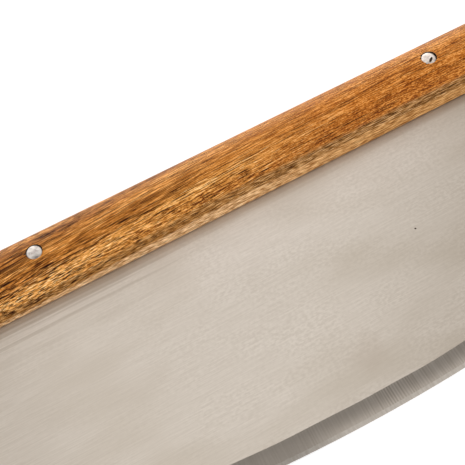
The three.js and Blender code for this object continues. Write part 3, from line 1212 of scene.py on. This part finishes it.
def pale_metal():
    material, tree, shader = new_material("pale_metal")
    place = own_axes(tree)
    wear = noise(tree, place, WEAR_WAVES, detail=3, roughness=0.6)
    colour = blend_colours(tree, between(tree, wear, 0.35, 0.65), METAL_WORN, METAL_BRIGHT)
    on_the_left = between(tree, split(tree, place)[0], -1 * MM, 1 * MM, 1.0, 0.0)
    colour = tinted(tree, on_the_left, colour, LEFT_RIVET_TINT)
    dullness = between(tree, wear, 0.3, 0.7, *WEAR_DULLNESS)
    fill(shader, {"Base Color": colour, "Metallic": 1.0, "Roughness": dullness})
    raise_bumps(tree, shader, wear, HAMMER_DEPTH, strength=0.3)
    return material


rivet_metal = pale_metal()
print("made", rivet_metal.name)

# %% Turn and seat the rivets, with a nick in the right one
NICKED_RIVET = "rivet_right"
NICK_OFFSET = (0.15 * MM, -1.1 * MM)
NICK_SIZE = (1.25 * MM, 0.48 * MM, 0.42 * MM)
NICK_TURN = 38

for node, place in rivet_places.items():
    piece = rivet("domed_" + node)
    if node == NICKED_RIVET:
        drop = (NICK_OFFSET[0] ** 2 + NICK_OFFSET[1] ** 2) / (2 * dome_radius)
        nick(piece, Vector((*NICK_OFFSET, dome_top - drop)), NICK_SIZE, NICK_TURN, GRIMY_AND_SHADED)
    piece.data.transform(Matrix.Translation(place))
    seat(piece, node, [rivet_metal, dirt_and_shade])

# %% [markdown]
# ## Studio
# The cutter lies on a plain white floor, in the soft light of a studio. More light would make the floor
# white, but it would also bleach the wood. So the floor glows a little instead, for the camera and in
# reflections only, which makes it white and still leaves the cutter's shadow on it.

# %% Floor
FLOOR_HALF = 2.5
FLOOR_GREY = 0.85
FLOOR_GLOW = 0.3
WHITE = (1, 1, 1, 1)

floor_mesh = bpy.data.meshes.new("floor")
floor_corners = [(x * FLOOR_HALF, y * FLOOR_HALF, 0) for x, y in ((-1, -1), (1, -1), (1, 1), (-1, 1))]
floor_mesh.from_pydata(floor_corners, [], [(0, 1, 2, 3)])
floor = bpy.data.objects.new("floor", floor_mesh)
scene.collection.objects.link(floor)
floor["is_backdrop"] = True


def floor_paint():
    material, tree, shader = new_material("floor_paint")
    path = tree.nodes.new("ShaderNodeLightPath").outputs
    seen = added(tree, path["Is Camera Ray"], path["Is Glossy Ray"])
    seen = maths(tree, "ADD", seen, path["Is Transmission Ray"], clamp=True)
    fill(shader, {
        "Base Color": (FLOOR_GREY, FLOOR_GREY, FLOOR_GREY, 1),
        "Roughness": 0.9,
        "Emission Color": WHITE,
        "Emission Strength": times(tree, seen, FLOOR_GLOW),
    })
    return material


floor.data.materials.append(floor_paint())
print(f"floor {2 * FLOOR_HALF:.0f} m wide")

# %% [markdown]
# ### Light
# Steel shows what is around it, so its tones come from the room and not from lamps. The walls are white,
# and a dark gap runs overhead along the bar. From the camera, the flat face mirrors the wall behind and
# is pale. The hollow ground edge leans more to the front, so it mirrors the gap, and darkens towards its
# shoulder. Two softboxes add a little shape: one in front, and a low one behind that draws the bar's
# upper rim.

# %% Walls with a dark gap overhead
GAP_BACK = (math.radians(-10), math.radians(5))
GAP_FRONT = (math.radians(13), math.radians(26))
WALL_LIGHT = 1.1
GAP_LIGHT = 0.29

world = bpy.data.worlds.new("studio")
scene.world = world
world.use_nodes = True
room = world.node_tree
direction = room.nodes.new("ShaderNodeTexCoord").outputs["Generated"]
room_y, room_z = split(room, direction)[1:]
off_vertical = maths(room, "ARCTAN2", times(room, room_y, -1.0), room_z)
back_wall = between(room, off_vertical, *GAP_BACK, WALL_LIGHT, GAP_LIGHT)
front_wall = between(room, off_vertical, *GAP_FRONT, GAP_LIGHT, WALL_LIGHT)
room_light = maths(room, "MAXIMUM", back_wall, front_wall)
fill(room.nodes["Background"], {"Color": WHITE, "Strength": room_light})
print(f"the gap is {math.degrees(GAP_FRONT[0] - GAP_BACK[1]):.0f} degrees wide")

# %% Softboxes
def softbox(name, lean, distance, width, height, radiance):
    """A soft lamp that leans some degrees to the back, or to the front where they are negative."""
    data = bpy.data.lights.new(name, "AREA")
    data.shape = "RECTANGLE"
    data.size, data.size_y = width, height
    data.energy = radiance * math.pi * width * height
    lamp = bpy.data.objects.new(name, data)
    scene.collection.objects.link(lamp)
    angle = math.radians(lean)
    lamp.location = (0, distance * math.sin(angle), distance * math.cos(angle))
    lamp.rotation_euler = (-angle, 0, 0)
    print(name, f"{data.energy:.2f} W")


softbox("front_softbox", lean=-58, distance=1.2, width=1.6, height=0.7, radiance=0.8)
softbox("rim_softbox", lean=78, distance=1.2, width=1.6, height=0.35, radiance=3.5)

# %% [markdown]
# ## The size
# The dressed cutter should fill the same box as the solid model, or it wouldn't fit where the solid fits.
# Both boxes are printed, so that they can be compared.

# %% Print both boxes
boxes = {"cad": cad_box, "visual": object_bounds()}
boxes = {name: [list(corner) for corner in box] for name, box in boxes.items()}
for name, box in boxes.items():
    print(name, "box in mm:", [[round(value / MM, 2) for value in corner] for corner in box])
